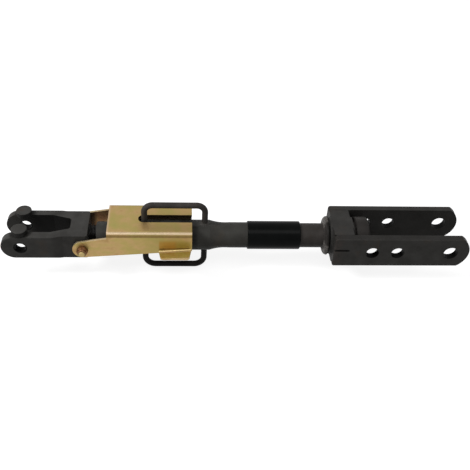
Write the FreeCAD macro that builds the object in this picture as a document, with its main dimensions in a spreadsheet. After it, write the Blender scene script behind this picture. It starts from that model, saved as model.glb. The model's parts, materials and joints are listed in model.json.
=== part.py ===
import FreeCAD, Part
import math
import os
import Sketcher
from FreeCAD import Placement, Rotation, Vector

# Adjustable link for a lift arm: a rear fork that swivels on a turnbuckle tube, a front fork
# on a threaded spindle, two wire handles for turning the tube and a hinged flap that locks it.
# The origin is the centre of the rear fork's end bore. X runs along the link, positive away from
# the tube, Y runs along the bores and Z is up. Lengths are in millimetres.

SIZES = [
    # The whole link
    ("link_length", 565.0, "front bore to rear end bore, screwed in"),
    ("running_gap", 0.05, "radial clearance of parts that turn or slide in each other"),
    ("face_gap", 0.3, "clearance between faces that move past each other"),
    # Rear fork
    ("plate_height", 46.0, "side plate, top to bottom"),
    ("plate_thickness", 9.5, "side plate"),
    ("fork_gap", 53.0, "between the side plates"),
    ("plate_corner_reach", 12.8, "end bore to the corners of the rounded end"),
    ("plate_end_radius", 27.2, "arc of the rounded end"),
    ("plate_tail_round", 3.2, "corners of the plate's welded end"),
    ("plate_edge_bevel", 0.8, "bevel of the plate's outer edges"),
    ("end_hole_radius", 9.5, "outer hole"),
    ("pin_hole_radius", 8.5, "middle and inner holes"),
    ("middle_hole_spacing", 72.0, "outer hole to middle hole"),
    ("inner_hole_spacing", 34.0, "middle hole to inner hole"),
    ("bridge_inset", 131.5, "end bore to the bridge's inner face"),
    ("bridge_thickness", 26.2, "bridge block along the link"),
    ("boss_radius", 25.0, "raised boss on the bridge's inner face"),
    ("boss_height", 2.2, "raised boss"),
    ("weld_slot_length", 17.0, "slot weld on the near plate"),
    ("weld_slot_width", 1.8, "slot weld"),
    ("weld_slot_depth", 1.0, "slot weld"),
    ("weld_slot_rise", 4.0, "slot weld above the plate's middle"),
    ("weld_slot_inset", 2.5, "bridge's outer face to the slot weld"),
    # Swivel
    ("swivel_radius", 16.4, "swivel pin"),
    ("head_radius", 25.5, "round head between the plates"),
    ("head_length", 17.0, "round head"),
    ("head_round", 3.0, "rounding of the head's rim"),
    ("washer_radius", 19.0, "thrust washer"),
    ("washer_thickness", 3.5, "thrust washer"),
    ("collar_radius", 26.2, "collar outside the bridge"),
    ("collar_thickness", 9.5, "collar"),
    ("collar_round", 5.5, "rounding of the collar's rim"),
    ("collar_bead", 2.0, "leg of the weld that holds the collar"),
    ("spigot_radius", 13.25, "turned end that is welded into the tube"),
    ("spigot_length", 40.0, "turned end"),
    # Tube and sleeve
    ("tube_radius", 17.1, "swaged ends of the tube"),
    ("tube_body_radius", 20.2, "full body of the tube"),
    ("tube_core_radius", 16.0, "hollow of the full body"),
    ("neck_gap", 10.0, "front fork to tube, screwed in"),
    ("tube_share", 0.6831, "the tube's part of the way from the neck gap to the head"),
    ("tube_neck_length", 24.0, "threaded end before its taper"),
    ("neck_taper", 18.0, "taper from the threaded end to the body"),
    ("rear_taper", 26.0, "taper from the body to the plain end"),
    ("plain_length", 24.5, "plain end between its taper and the sleeve"),
    ("core_inset", 6.0, "hollow's tapers, inside the outer tapers"),
    ("tube_chamfer", 1.0, "chamfer at the threaded end"),
    ("sleeve_radius", 19.0, "grip sleeve"),
    ("sleeve_length", 70.6, "grip sleeve"),
    ("sleeve_overlap", 36.1, "length of the sleeve on the tube"),
    ("sleeve_round", 1.2, "rounding of the sleeve's ends"),
    # Wire handles
    ("wire_radius", 4.0, "handle wire"),
    ("upper_reach", 49.4, "axis to the middle of the upper grip"),
    ("lower_reach", 52.4, "axis to the middle of the lower grip"),
    ("first_leg_inset", 20.7, "front end of the full body to the first leg"),
    ("second_leg_inset", 6.5, "second leg to the rear end of the full body"),
    ("upper_bend", 11.0, "bends of the upper handle, on the wire's centre line"),
    ("lower_bend", 13.5, "bends of the lower handle, on the wire's centre line"),
    ("leg_bead", 3.0, "leg of the welds that hold the handles"),
    # Front fork and spindle
    ("fork_length", 85.5, "bore to the end face"),
    ("ear_height", 36.0, "ears and shank, top to bottom"),
    ("ear_width", 56.4, "over both ears"),
    ("shank_width", 52.0, "behind the ears"),
    ("ear_end_reach", 7.2, "bore to the middle of the ears' rounded end"),
    ("ear_edge_bevel", 1.2, "bevel of the forging's long edges"),
    ("front_bore_radius", 7.4, "bore through the ears"),
    ("slot_width", 35.0, "between the ears"),
    ("slot_web", 23.0, "closed end of the slot to the fork's end face"),
    ("slot_taper_place", 38.0, "bore to the start of the slot's taper"),
    ("slot_end_width", 22.0, "closed end of the slot"),
    ("slot_corner", 4.0, "corners of the closed end"),
    ("step_place", 41.5, "bore to the step from ear width to shank width"),
    ("step_length", 13.0, "length of that step"),
    ("shank_corner", 3.0, "upright corners of the shank's end"),
    ("socket_depth", 18.0, "spindle inside the shank"),
    ("spindle_radius", 13.5, "over the thread"),
    ("spindle_length", 140.0, "whole spindle"),
    ("spindle_chamfer", 2.0, "end of the spindle"),
    ("stud_radius", 10.1, "stop studs on the ears"),
    ("stud_height", 7.0, "stop studs above the ears"),
    ("stud_spacing", 38.0, "stud to stud, centres"),
    ("stud_edge_round", 1.0, "top edge of the studs"),
    # Hinge bolt and nut
    ("pivot_inset", 6.2, "hinge bolt to the fork's end face"),
    ("bolt_radius", 4.0, "hinge bolt"),
    ("bolt_hole_gap", 0.2, "radial clearance of the bolt in the shank"),
    ("hex_width", 13.0, "bolt head and nut across the flats"),
    ("bolt_head_height", 5.3, "bolt head"),
    ("nut_height", 5.5, "hexagon of the lock nut"),
    ("nut_crown_height", 2.5, "round crown of the lock nut"),
    ("nut_crown_radius", 5.8, "round crown of the lock nut"),
    ("bolt_stub", 2.0, "bolt end beyond the nut"),
    # Lock flap
    ("sheet_thickness", 3.0, "sheet of the flap"),
    ("flap_headroom", 4.0, "tube to the underside of the flap"),
    ("flap_bend_radius", 5.6, "outside of the flap's long bends"),
    ("flap_arm_radius", 12.8, "round ends of the arms"),
    ("flap_arm_length", 31.7, "hinge bolt to the start of the channel"),
    ("arm_shoulder", 18.5, "height of the arms where the channel starts"),
    ("flap_end_clearance", 12.9, "end of the flap to the second handle leg"),
    ("lower_edge_drop", 1.5, "lower edge below the axis at the flap's end"),
    ("slot_side_clearance", 3.7, "flap slot beside the handle wire"),
    ("slot_end_clearance", 4.0, "flap slot before the first handle leg"),
    ("lip_length", 42.3, "finger lips along the flap"),
    ("lip_end_inset", 1.0, "end of the flap to the lips"),
    ("lip_reach", 15.6, "lips beyond the flap's sides, middle"),
    ("lip_slant", 1.5, "how much the lips' outer edges slant each way from the middle"),
    ("lip_taper", 2.7, "how much each end of a lip slants inward"),
    ("lip_corner", 3.0, "outer corners of the lips"),
    ("lip_root_round", 1.6, "bend between the lips and the flap's sides"),
]

doc = FreeCAD.newDocument("lift_link")
sheet = doc.addObject("Spreadsheet::Sheet", "Sizes")
parts = []


class Size:
    """A length with its value in millimetres and the expression that ties it to the sheet."""

    def __init__(self, value, text):
        self.value = float(value)
        self.text = text

    def __add__(self, other):
        other = as_size(other)
        return Size(self.value + other.value, f"({self.text} + {other.text})")

    def __sub__(self, other):
        other = as_size(other)
        return Size(self.value - other.value, f"({self.text} - {other.text})")

    def __mul__(self, other):
        other = as_size(other)
        return Size(self.value * other.value, f"({self.text} * {other.text})")

    def __truediv__(self, other):
        other = as_size(other)
        return Size(self.value / other.value, f"({self.text} / {other.text})")

    def __neg__(self):
        return Size(-self.value, f"(0 - {self.text})")


def as_size(value):
    if isinstance(value, Size):
        return value
    return Size(value, f"({float(value)})")


def root(size):
    return Size(math.sqrt(size.value), f"sqrt({size.text})")


class Named:
    """The driving sizes, each under its own name."""


def fill_sheet(sizes):
    named = Named()
    for row, (alias, value, note) in enumerate(sizes, start=1):
        sheet.set(f"A{row}", alias)
        sheet.set(f"B{row}", str(value))
        sheet.set(f"C{row}", note)
        sheet.setAlias(f"B{row}", alias)
        setattr(named, alias, Size(value, f"Sizes.{alias}"))
    doc.recompute()
    return named


s = fill_sheet(SIZES)
ZERO = as_size(0.0)

# Places along the link, each worked out from the pieces before it

front_bore_x = -s.link_length
fork_end_x = front_bore_x + s.fork_length
pivot_x = fork_end_x - s.pivot_inset
tube_start_x = fork_end_x + s.neck_gap

bridge_inner_x = -s.bridge_inset
bridge_outer_x = bridge_inner_x - s.bridge_thickness
boss_face_x = bridge_inner_x + s.boss_height
washer_x = boss_face_x + s.face_gap
head_face_x = washer_x + s.washer_thickness
collar_face_x = bridge_outer_x - s.face_gap

tube_end_x = tube_start_x + (head_face_x - tube_start_x) * s.tube_share
sleeve_start_x = tube_end_x - s.sleeve_overlap
neck_x = tube_start_x + s.tube_neck_length
body_start_x = neck_x + s.neck_taper
plain_x = sleeve_start_x - s.plain_length
body_end_x = plain_x - s.rear_taper
first_leg_x = body_start_x + s.first_leg_inset
second_leg_x = body_end_x - s.second_leg_inset

middle_hole_x = -s.middle_hole_spacing
inner_hole_x = middle_hole_x - s.inner_hole_spacing

flap_inner_y = s.ear_width / 2 + s.face_gap
flap_outer_y = flap_inner_y + s.sheet_thickness
flap_under_z = s.tube_body_radius + s.flap_headroom
flap_top_z = flap_under_z + s.sheet_thickness
flap_start_x = pivot_x + s.flap_arm_length
flap_end_x = second_leg_x - s.wire_radius - s.flap_end_clearance
hinge_seat_y = flap_outer_y + s.face_gap

# Sketch and feature helpers


def bind(thing, name, size):
    """Set a property from a size and tie it to the sheet."""
    thing.setExpression(name, as_size(size).text)


def new_body(name):
    body = doc.addObject("PartDesign::Body", name)
    body.Label = name
    parts.append(body)
    return body


def new_sketch(body, role, name, offset=None, tilt=None):
    """A sketch on one of the body's own origin planes, moved out along its normal by offset."""
    plane = next(o for o in body.Origin.OriginFeatures if o.Role == role)
    sketch = body.newObject("Sketcher::SketchObject", f"{body.Name}_{name}")
    sketch.AttachmentSupport = [(plane, "")]
    sketch.MapMode = "FlatFace"
    if tilt is not None:
        axis, rise_text = tilt
        sketch.AttachmentOffset = Placement(Vector(), Rotation(axis, 1.0))
        sketch.setExpression("AttachmentOffset.Rotation.Angle", rise_text)
    if offset is not None:
        bind(sketch, "AttachmentOffset.Base.z", offset)
    return sketch


def fix(sketch, kind, geometry, point, size):
    """Place one coordinate of a sketch point, on the axis where the size is zero."""
    if size.value == 0.0:
        axis = -2 if kind == "DistanceX" else -1
        sketch.addConstraint(Sketcher.Constraint("PointOnObject", geometry, point, axis))
        return
    index = sketch.addConstraint(Sketcher.Constraint(kind, geometry, point, size.value))
    bind(sketch, f"Constraints[{index}]", size)


def fix_radius(sketch, geometry, size):
    index = sketch.addConstraint(Sketcher.Constraint("Radius", geometry, size.value))
    bind(sketch, f"Constraints[{index}]", size)


def add_circle(sketch, x, y, radius):
    x, y, radius = as_size(x), as_size(y), as_size(radius)
    centre = Vector(x.value, y.value, 0)
    geometry = sketch.addGeometry(Part.Circle(centre, Vector(0, 0, 1), radius.value), False)
    fix(sketch, "DistanceX", geometry, 3, x)
    fix(sketch, "DistanceY", geometry, 3, y)
    fix_radius(sketch, geometry, radius)


def arc_between(start, end, radius, side):
    """The short arc from start to end; side 1 keeps its centre on the left of the way."""
    middle = (start + end) / 2
    way = end - start
    left = Vector(-way.y, way.x, 0).normalize()
    reach = math.sqrt(max(radius ** 2 - (way.Length / 2) ** 2, 0.0))
    centre = middle + left * (reach * side)
    circle = Part.Circle(centre, Vector(0, 0, 1), radius)
    first, last = (start, end) if side > 0 else (end, start)
    angles = [math.atan2(p.y - centre.y, p.x - centre.x) for p in (first, last)]
    return Part.ArcOfCircle(circle, angles[0], angles[1])


def add_path(sketch, corners, closed=True):
    """Lines and arcs through the corners. A corner is (x, y), or (x, y, radius, side) where
    the stretch that leaves it is an arc."""
    corners = [tuple(as_size(v) for v in c[:3]) + tuple(c[3:]) for c in corners]
    spots = [Vector(c[0].value, c[1].value, 0) for c in corners]
    count = len(corners) if closed else len(corners) - 1
    ends = []
    for i in range(count):
        start, end = spots[i], spots[(i + 1) % len(spots)]
        if len(corners[i]) == 2:
            geometry = sketch.addGeometry(Part.LineSegment(start, end), False)
            ends.append((geometry, 1, 2))
            continue
        radius, side = corners[i][2], corners[i][3]
        geometry = sketch.addGeometry(arc_between(start, end, radius.value, side), False)
        ends.append((geometry, 1, 2) if side > 0 else (geometry, 2, 1))
    for i in range(count if closed else count - 1):
        here, there = ends[i], ends[(i + 1) % count]
        sketch.addConstraint(Sketcher.Constraint("Coincident", here[0], here[2], there[0], there[1]))
    for i in range(count):
        fix(sketch, "DistanceX", ends[i][0], ends[i][1], corners[i][0])
        fix(sketch, "DistanceY", ends[i][0], ends[i][1], corners[i][1])
    if not closed:
        fix(sketch, "DistanceX", ends[-1][0], ends[-1][2], corners[-1][0])
        fix(sketch, "DistanceY", ends[-1][0], ends[-1][2], corners[-1][1])
    for i in range(count):
        if len(corners[i]) > 2:
            fix_radius(sketch, ends[i][0], corners[i][2])


def pad(body, sketch, length):
    """Solid of the given length, half to each side of the sketch."""
    feature = body.newObject("PartDesign::Pad", f"{sketch.Name}_pad")
    feature.Profile = sketch
    feature.SideType = "Symmetric"
    bind(feature, "Length", length)
    doc.recompute()
    return feature


def cut_through(body, sketch):
    """Cut the sketch through the whole body, to both sides."""
    before = body.Shape.Volume
    feature = body.newObject("PartDesign::Pocket", f"{sketch.Name}_cut")
    feature.Profile = sketch
    feature.SideType = "Symmetric"
    feature.Type = "ThroughAll"
    doc.recompute()
    check_less(feature, before, body.Shape.Volume)
    return feature


def check_less(feature, before, after):
    if not after < before:
        raise RuntimeError(f"{feature.Name} cuts nothing")


def spin(body, sketch, axis="H_Axis"):
    """Solid of revolution about one of the sketch's own axes."""
    feature = body.newObject("PartDesign::Revolution", f"{sketch.Name}_turn")
    feature.Profile = sketch
    feature.ReferenceAxis = (sketch, [axis])
    feature.Angle = 360.0
    doc.recompute()
    return feature


def turned(name, corners):
    """A turned piece on the link's axis, from its (x, radius) outline."""
    body = new_body(name)
    sketch = new_sketch(body, "XY_Plane", "outline")
    add_path(sketch, corners)
    spin(body, sketch)
    return body


def dress_edges(body, kind, measure, size, wanted):
    """Fillet or chamfer the edges of the body's shape that the test picks."""
    base = body.Tip
    names = [f"Edge{i}" for i, edge in enumerate(base.Shape.Edges, start=1) if wanted(edge)]
    feature = body.newObject(f"PartDesign::{kind}", f"{base.Name}_{kind.lower()}")
    feature.Base = (base, names)
    bind(feature, measure, size)
    doc.recompute()


def round_edges(body, radius, wanted):
    dress_edges(body, "Fillet", "Radius", radius, wanted)


def bevel_edges(body, size, wanted):
    dress_edges(body, "Chamfer", "Size", size, wanted)


def lies_at(edge, axis, value, slack=0.001):
    """Whether the whole edge has one coordinate at the value."""
    box = edge.BoundBox
    low, high = getattr(box, f"{axis}Min"), getattr(box, f"{axis}Max")
    return abs(low - value) < slack and abs(high - value) < slack


# Rear fork: two side plates welded to a bridge block


def make_fork_plate(name, side, slot_weld=False):
    body = new_body(name)
    outline = new_sketch(body, "XZ_Plane", "outline")
    half = s.plate_height / 2
    corner = s.plate_tail_round
    add_path(outline, [
        (bridge_outer_x + corner, -half),
        (s.plate_corner_reach, -half, s.plate_end_radius, 1),
        (s.plate_corner_reach, half),
        (bridge_outer_x + corner, half, corner, 1),
        (bridge_outer_x, half - corner),
        (bridge_outer_x, corner - half, corner, 1),
    ])
    pad(body, outline, s.plate_thickness)
    outer_face = side * s.plate_thickness.value / 2
    bevel_edges(body, s.plate_edge_bevel, lambda e: lies_at(e, "Y", outer_face))
    holes = new_sketch(body, "XZ_Plane", "holes")
    add_circle(holes, ZERO, ZERO, s.end_hole_radius)
    add_circle(holes, middle_hole_x, ZERO, s.pin_hole_radius)
    add_circle(holes, inner_hole_x, ZERO, s.pin_hole_radius)
    cut_through(body, holes)
    if slot_weld:
        cut_slot_weld(body)
    bind(body, "Placement.Base.y", (s.fork_gap / 2 + s.plate_thickness / 2) * side)
    return body


def cut_slot_weld(body):
    """The sunk line of the slot weld, on the plate's outer face."""
    half = s.weld_slot_width / 2
    start = bridge_outer_x + s.weld_slot_inset + half
    end = start + s.weld_slot_length - s.weld_slot_width
    rise = s.weld_slot_rise
    sketch = new_sketch(body, "XZ_Plane", "slot_weld", offset=s.plate_thickness / 2)
    add_path(sketch, [
        (start, rise - half),
        (end, rise - half, half, 1),
        (end + half, rise, half, 1),
        (end, rise + half),
        (start, rise + half, half, 1),
        (start - half, rise, half, 1),
    ])
    before = body.Shape.Volume
    feature = body.newObject("PartDesign::Pocket", f"{sketch.Name}_cut")
    feature.Profile = sketch
    feature.SideType = "Symmetric"
    bind(feature, "Length", s.weld_slot_depth * 2)
    doc.recompute()
    check_less(feature, before, body.Shape.Volume)


def make_fork_bridge():
    """Block between the plates, with the swivel bore and a boss trimmed to its height."""
    body = new_body("fork_bridge")
    half_y, half_z = s.fork_gap / 2, s.plate_height / 2
    block = new_sketch(body, "YZ_Plane", "block", offset=bridge_inner_x - s.bridge_thickness / 2)
    add_path(block, [(-half_y, -half_z), (half_y, -half_z), (half_y, half_z), (-half_y, half_z)])
    pad(body, block, s.bridge_thickness)
    boss = new_sketch(body, "YZ_Plane", "boss", offset=boss_face_x - s.boss_height)
    flat = root(s.boss_radius * s.boss_radius - half_z * half_z)
    add_path(boss, [
        (-flat, -half_z),
        (flat, -half_z, s.boss_radius, 1),
        (flat, half_z),
        (-flat, half_z, s.boss_radius, 1),
    ])
    pad(body, boss, s.boss_height * 2)
    bore = new_sketch(body, "YZ_Plane", "bore")
    add_circle(bore, ZERO, ZERO, s.swivel_radius + s.running_gap)
    cut_through(body, bore)
    return body


# Swivel: the pin, its thrust washer and the welded collar


def make_swivel():
    head_end_x = head_face_x + s.head_length
    turned("swivel_pin", [
        (tube_end_x - s.spigot_length, ZERO),
        (head_end_x, ZERO),
        (head_end_x, s.head_radius - s.head_round, s.head_round, 1),
        (head_end_x - s.head_round, s.head_radius),
        (head_face_x, s.head_radius),
        (head_face_x, s.swivel_radius),
        (tube_end_x, s.swivel_radius),
        (tube_end_x, s.spigot_radius),
        (tube_end_x - s.spigot_length, s.spigot_radius),
    ])
    washer_bore = s.swivel_radius + s.running_gap
    turned("thrust_washer", [
        (washer_x, washer_bore),
        (head_face_x, washer_bore),
        (head_face_x, s.washer_radius),
        (washer_x, s.washer_radius),
    ])
    collar_back_x = collar_face_x - s.collar_thickness
    turned("swivel_collar", [
        (collar_back_x, s.swivel_radius),
        (collar_face_x, s.swivel_radius),
        (collar_face_x, s.collar_radius),
        (collar_back_x + s.collar_round, s.collar_radius, s.collar_round, 1),
        (collar_back_x, s.collar_radius - s.collar_round),
    ])
    turned("collar_weld", [
        (collar_back_x - s.collar_bead, s.swivel_radius),
        (collar_back_x, s.swivel_radius),
        (collar_back_x, s.swivel_radius + s.collar_bead, s.collar_bead * 1.6, 1),
    ])


# Turnbuckle tube, swaged at both ends, and the sleeve over its welded joint


def make_tube():
    thread = s.spindle_radius + s.running_gap
    spigot = s.spigot_radius
    turned("turnbuckle_tube", [
        (tube_start_x + s.tube_chamfer, thread),
        (neck_x + s.core_inset, thread),
        (body_start_x + s.core_inset, s.tube_core_radius),
        (body_end_x - s.core_inset, s.tube_core_radius),
        (plain_x - s.core_inset, spigot),
        (tube_end_x, spigot),
        (tube_end_x, s.tube_radius),
        (plain_x, s.tube_radius, s.rear_taper * 2.5, -1),
        (body_end_x, s.tube_body_radius),
        (body_start_x, s.tube_body_radius),
        (neck_x, s.tube_radius),
        (tube_start_x + s.tube_chamfer, s.tube_radius),
        (tube_start_x, s.tube_radius - s.tube_chamfer),
        (tube_start_x, thread + s.tube_chamfer),
    ])


def make_grip_sleeve():
    end_x = sleeve_start_x + s.sleeve_length
    turned("grip_sleeve", [
        (sleeve_start_x, s.tube_radius),
        (tube_end_x, s.tube_radius),
        (tube_end_x, s.swivel_radius),
        (end_x, s.swivel_radius),
        (end_x, s.sleeve_radius - s.sleeve_round, s.sleeve_round, 1),
        (end_x - s.sleeve_round, s.sleeve_radius),
        (sleeve_start_x + s.sleeve_round, s.sleeve_radius, s.sleeve_round, 1),
        (sleeve_start_x, s.sleeve_radius - s.sleeve_round),
    ])


# Wire handles, each bent from one rod and coped to the tube


def make_handle(name, side, reach, bend):
    body = new_body(name)
    base_z = s.tube_radius * side
    grip_z = reach * side
    turn_z = (reach - bend) * side
    spine = new_sketch(body, "XZ_Plane", "spine")
    add_path(spine, [
        (first_leg_x, base_z),
        (first_leg_x, turn_z, bend, -side),
        (first_leg_x + bend, grip_z),
        (second_leg_x - bend, grip_z, bend, -side),
        (second_leg_x, turn_z),
        (second_leg_x, base_z),
    ], closed=False)
    wire = new_sketch(body, "XY_Plane", "wire", offset=base_z)
    add_circle(wire, first_leg_x, ZERO, s.wire_radius)
    rod = body.newObject("PartDesign::AdditivePipe", f"{name}_rod")
    rod.Profile = wire
    rod.Spine = spine
    doc.recompute()
    saddle = new_sketch(body, "YZ_Plane", "saddle")
    add_circle(saddle, ZERO, ZERO, s.tube_body_radius)
    cut_through(body, saddle)
    return body


def make_handle_welds(name, side):
    """Two fillet beads round one handle's legs, trimmed by the legs and by the tube."""
    height = s.leg_bead + s.tube_body_radius - s.tube_radius
    turn = Rotation(Vector(1, 0, 0), 0 if side > 0 else 180)
    beads, legs = [], []
    for leg_x, place in ((first_leg_x, "first"), (second_leg_x, "second")):
        bead = doc.addObject("Part::Cone", f"{name}_{place}_bead")
        leg = doc.addObject("Part::Cylinder", f"{name}_{place}_leg")
        bind(bead, "Radius1", s.wire_radius + height)
        bind(bead, "Radius2", s.wire_radius)
        bind(leg, "Radius", s.wire_radius)
        for piece in (bead, leg):
            piece.Placement = Placement(Vector(), turn)
            bind(piece, "Height", height)
            bind(piece, "Placement.Base.x", leg_x)
            bind(piece, "Placement.Base.z", s.tube_radius * side)
        beads.append(bead)
        legs.append(leg)
    tube = doc.addObject("Part::Cylinder", f"{name}_trim")
    tube.Placement = Placement(Vector(), Rotation(Vector(0, 1, 0), 90))
    bind(tube, "Radius", s.tube_body_radius)
    bind(tube, "Height", tube_end_x - tube_start_x)
    bind(tube, "Placement.Base.x", tube_start_x)
    raw = doc.addObject("Part::MultiFuse", f"{name}_raw")
    raw.Shapes = beads
    tools = doc.addObject("Part::MultiFuse", f"{name}_tools")
    tools.Shapes = legs + [tube]
    welds = doc.addObject("Part::Cut", name)
    welds.Base = raw
    welds.Tool = tools
    welds.Label = name
    doc.recompute()
    parts.append(welds)


# Front fork: a forging with two ears, a tapering slot and a shank that carries the spindle


def make_front_fork():
    body = new_body("front_fork")
    half_z = s.ear_height / 2
    end_x = front_bore_x - s.ear_end_reach
    profile = new_sketch(body, "XZ_Plane", "profile")
    add_path(profile, [
        (end_x, -half_z),
        (fork_end_x, -half_z),
        (fork_end_x, half_z),
        (end_x, half_z, half_z, 1),
        (end_x - half_z, ZERO, half_z, 1),
    ])
    pad(body, profile, s.ear_width)
    trim_shank(body)
    half = s.ear_width.value / 2
    bevel_edges(body, s.ear_edge_bevel, lambda e: lies_at(e, "Y", half) or lies_at(e, "Y", -half))
    cut_ear_slot(body)
    bores = new_sketch(body, "XZ_Plane", "bores")
    add_circle(bores, front_bore_x, ZERO, s.front_bore_radius)
    add_circle(bores, pivot_x, ZERO, s.bolt_radius + s.bolt_hole_gap)
    cut_through(body, bores)
    socket = new_sketch(body, "YZ_Plane", "socket", offset=fork_end_x)
    add_circle(socket, ZERO, ZERO, s.spindle_radius)
    before = body.Shape.Volume
    feature = body.newObject("PartDesign::Pocket", "front_fork_socket_cut")
    feature.Profile = socket
    feature.SideType = "Symmetric"
    bind(feature, "Length", s.socket_depth * 2)
    doc.recompute()
    check_less(feature, before, body.Shape.Volume)
    return body


def trim_shank(body):
    """Narrow the shank behind the step and round its end's upright corners, on both sides."""
    wide, narrow = s.ear_width / 2, s.shank_width / 2
    start = front_bore_x + s.step_place
    end = start + s.step_length
    beyond = fork_end_x + s.step_length
    corner = s.shank_corner
    for side, name in ((1, "far"), (-1, "near")):
        trim = new_sketch(body, "XY_Plane", f"{name}_trim")
        add_path(trim, [
            (start, wide * side),
            (end, narrow * side),
            (fork_end_x - corner, narrow * side, corner, -side),
            (fork_end_x, (narrow - corner) * side),
            (beyond, (narrow - corner) * side),
            (beyond, wide * 1.2 * side),
            (start, wide * 1.2 * side),
        ])
        cut_through(body, trim)


def cut_ear_slot(body):
    """The gap between the ears, tapering to a closed end with round corners."""
    half, end_half, corner = s.slot_width / 2, s.slot_end_width / 2, s.slot_corner
    mouth = front_bore_x - (s.ear_end_reach + s.ear_height / 2) * 1.2
    taper = front_bore_x + s.slot_taper_place
    end = fork_end_x - s.slot_web
    slot = new_sketch(body, "XY_Plane", "slot")
    add_path(slot, [
        (mouth, -half),
        (taper, -half),
        (end - corner, -end_half, corner, 1),
        (end, corner - end_half),
        (end, end_half - corner, corner, 1),
        (end - corner, end_half),
        (taper, half),
        (mouth, half),
    ])
    cut_through(body, slot)


def make_spindle():
    start = fork_end_x - s.socket_depth
    end = start + s.spindle_length
    body = turned("threaded_spindle", [
        (start, ZERO),
        (end, ZERO),
        (end, s.spindle_radius - s.spindle_chamfer),
        (end - s.spindle_chamfer, s.spindle_radius),
        (start, s.spindle_radius),
    ])
    hole = new_sketch(body, "XZ_Plane", "bolt_hole")
    add_circle(hole, pivot_x, ZERO, s.bolt_radius + s.bolt_hole_gap)
    cut_through(body, hole)


def make_stop_stud(name, side):
    body = new_body(name)
    seat = s.ear_height / 2
    sketch = new_sketch(body, "XY_Plane", "disc", offset=seat + s.stud_height / 2)
    add_circle(sketch, front_bore_x, s.stud_spacing / 2 * side, s.stud_radius)
    pad(body, sketch, s.stud_height)
    top = (seat + s.stud_height).value
    round_edges(body, s.stud_edge_round, lambda e: lies_at(e, "Z", top))


# Hinge bolt and lock nut


def add_hexagon(sketch, centre_x, width):
    """Hexagon across the flats, with two flats level."""
    half = width / 2
    corner = width / math.sqrt(3)
    add_path(sketch, [
        (centre_x - corner, ZERO),
        (centre_x - corner / 2, -half),
        (centre_x + corner / 2, -half),
        (centre_x + corner, ZERO),
        (centre_x + corner / 2, half),
        (centre_x - corner / 2, half),
    ])


def make_hinge_bolt():
    body = new_body("hinge_bolt")
    end_y = hinge_seat_y + s.nut_height + s.nut_crown_height + s.bolt_stub
    head_y = hinge_seat_y + s.bolt_head_height
    middle_y = (head_y - end_y) / 2
    shank = new_sketch(body, "XZ_Plane", "shank", offset=-middle_y)
    add_circle(shank, pivot_x, ZERO, s.bolt_radius)
    pad(body, shank, head_y + end_y)
    head = new_sketch(body, "XZ_Plane", "head", offset=-hinge_seat_y - s.bolt_head_height / 2)
    add_hexagon(head, pivot_x, s.hex_width)
    pad(body, head, s.bolt_head_height)


def make_hinge_nut():
    body = new_body("hinge_nut")
    block = new_sketch(body, "XZ_Plane", "block", offset=hinge_seat_y + s.nut_height / 2)
    add_hexagon(block, pivot_x, s.hex_width)
    pad(body, block, s.nut_height)
    crown_y = hinge_seat_y + s.nut_height + s.nut_crown_height / 2
    crown = new_sketch(body, "XZ_Plane", "crown", offset=crown_y)
    add_circle(crown, pivot_x, ZERO, s.nut_crown_radius)
    pad(body, crown, s.nut_crown_height)
    bore = new_sketch(body, "XZ_Plane", "bore")
    add_circle(bore, pivot_x, ZERO, s.bolt_radius)
    cut_through(body, bore)


# Lock flap: a channel of bent sheet with two arms, an open slot and two finger lips


def make_lock_flap():
    body = new_body("lock_flap")
    arm = s.flap_arm_radius
    profile = new_sketch(body, "XZ_Plane", "profile")
    add_path(profile, [
        (pivot_x, -arm),
        (flap_end_x, -s.lower_edge_drop),
        (flap_end_x, flap_top_z),
        (flap_start_x, flap_top_z),
        (flap_start_x, s.arm_shoulder),
        (pivot_x, arm, arm, 1),
        (pivot_x - arm, ZERO, arm, 1),
    ])
    pad(body, profile, flap_outer_y * 2)
    top, side = flap_top_z.value, flap_outer_y.value
    round_edges(body, s.flap_bend_radius, lambda e: lies_at(e, "Z", top) and abs(abs(e.BoundBox.Center.y) - side) < 0.001)
    add_lips(body)
    hollow_flap(body)
    cut_flap_slot(body)
    round_edges(body, s.lip_root_round, is_lip_root)
    return body


def is_lip_root(edge):
    """Whether the edge is the inner corner between a lip's upper face and the flap's side."""
    box = edge.BoundBox
    on_side = abs(abs(box.Center.y) - flap_outer_y.value) < 0.01 and box.YLength < 0.01
    fits_lip = abs(box.XLength - s.lip_length.value) < 1.0
    return on_side and fits_lip and box.ZMax < flap_top_z.value / 2


def add_lips(body):
    """Both lips in one piece at first; the hollow then parts them."""
    drop = s.flap_arm_radius - s.lower_edge_drop
    run = flap_end_x - pivot_x
    slope = f"atan({drop.text} / {run.text})"
    rise = drop / run
    along_slope = root(run * run + drop * drop) / run
    far_x = (flap_end_x - s.lip_end_inset) * along_slope
    near_x = far_x - s.lip_length
    wide = flap_outer_y + s.lip_reach + s.lip_slant
    slim = flap_outer_y + s.lip_reach - s.lip_slant
    corner, taper = s.lip_corner, s.lip_taper
    side_end = taper - taper * corner / s.lip_reach
    arc = corner * 1.15
    level = (s.sheet_thickness / 2) - s.lower_edge_drop - rise * flap_end_x
    lips = new_sketch(body, "XY_Plane", "lips", offset=level, tilt=(Vector(0, -1, 0), slope))
    add_path(lips, [
        (near_x, -flap_outer_y),
        (near_x + side_end, corner - slim, arc, 1),
        (near_x + taper + corner, -slim),
        (far_x - taper - corner, -wide, arc, 1),
        (far_x - side_end, corner - wide),
        (far_x, -flap_outer_y),
        (far_x, flap_outer_y),
        (far_x - side_end, wide - corner, arc, 1),
        (far_x - taper - corner, wide),
        (near_x + taper + corner, slim, arc, 1),
        (near_x + side_end, slim - corner),
        (near_x, flap_outer_y),
    ])
    pad(body, lips, s.sheet_thickness)


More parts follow.
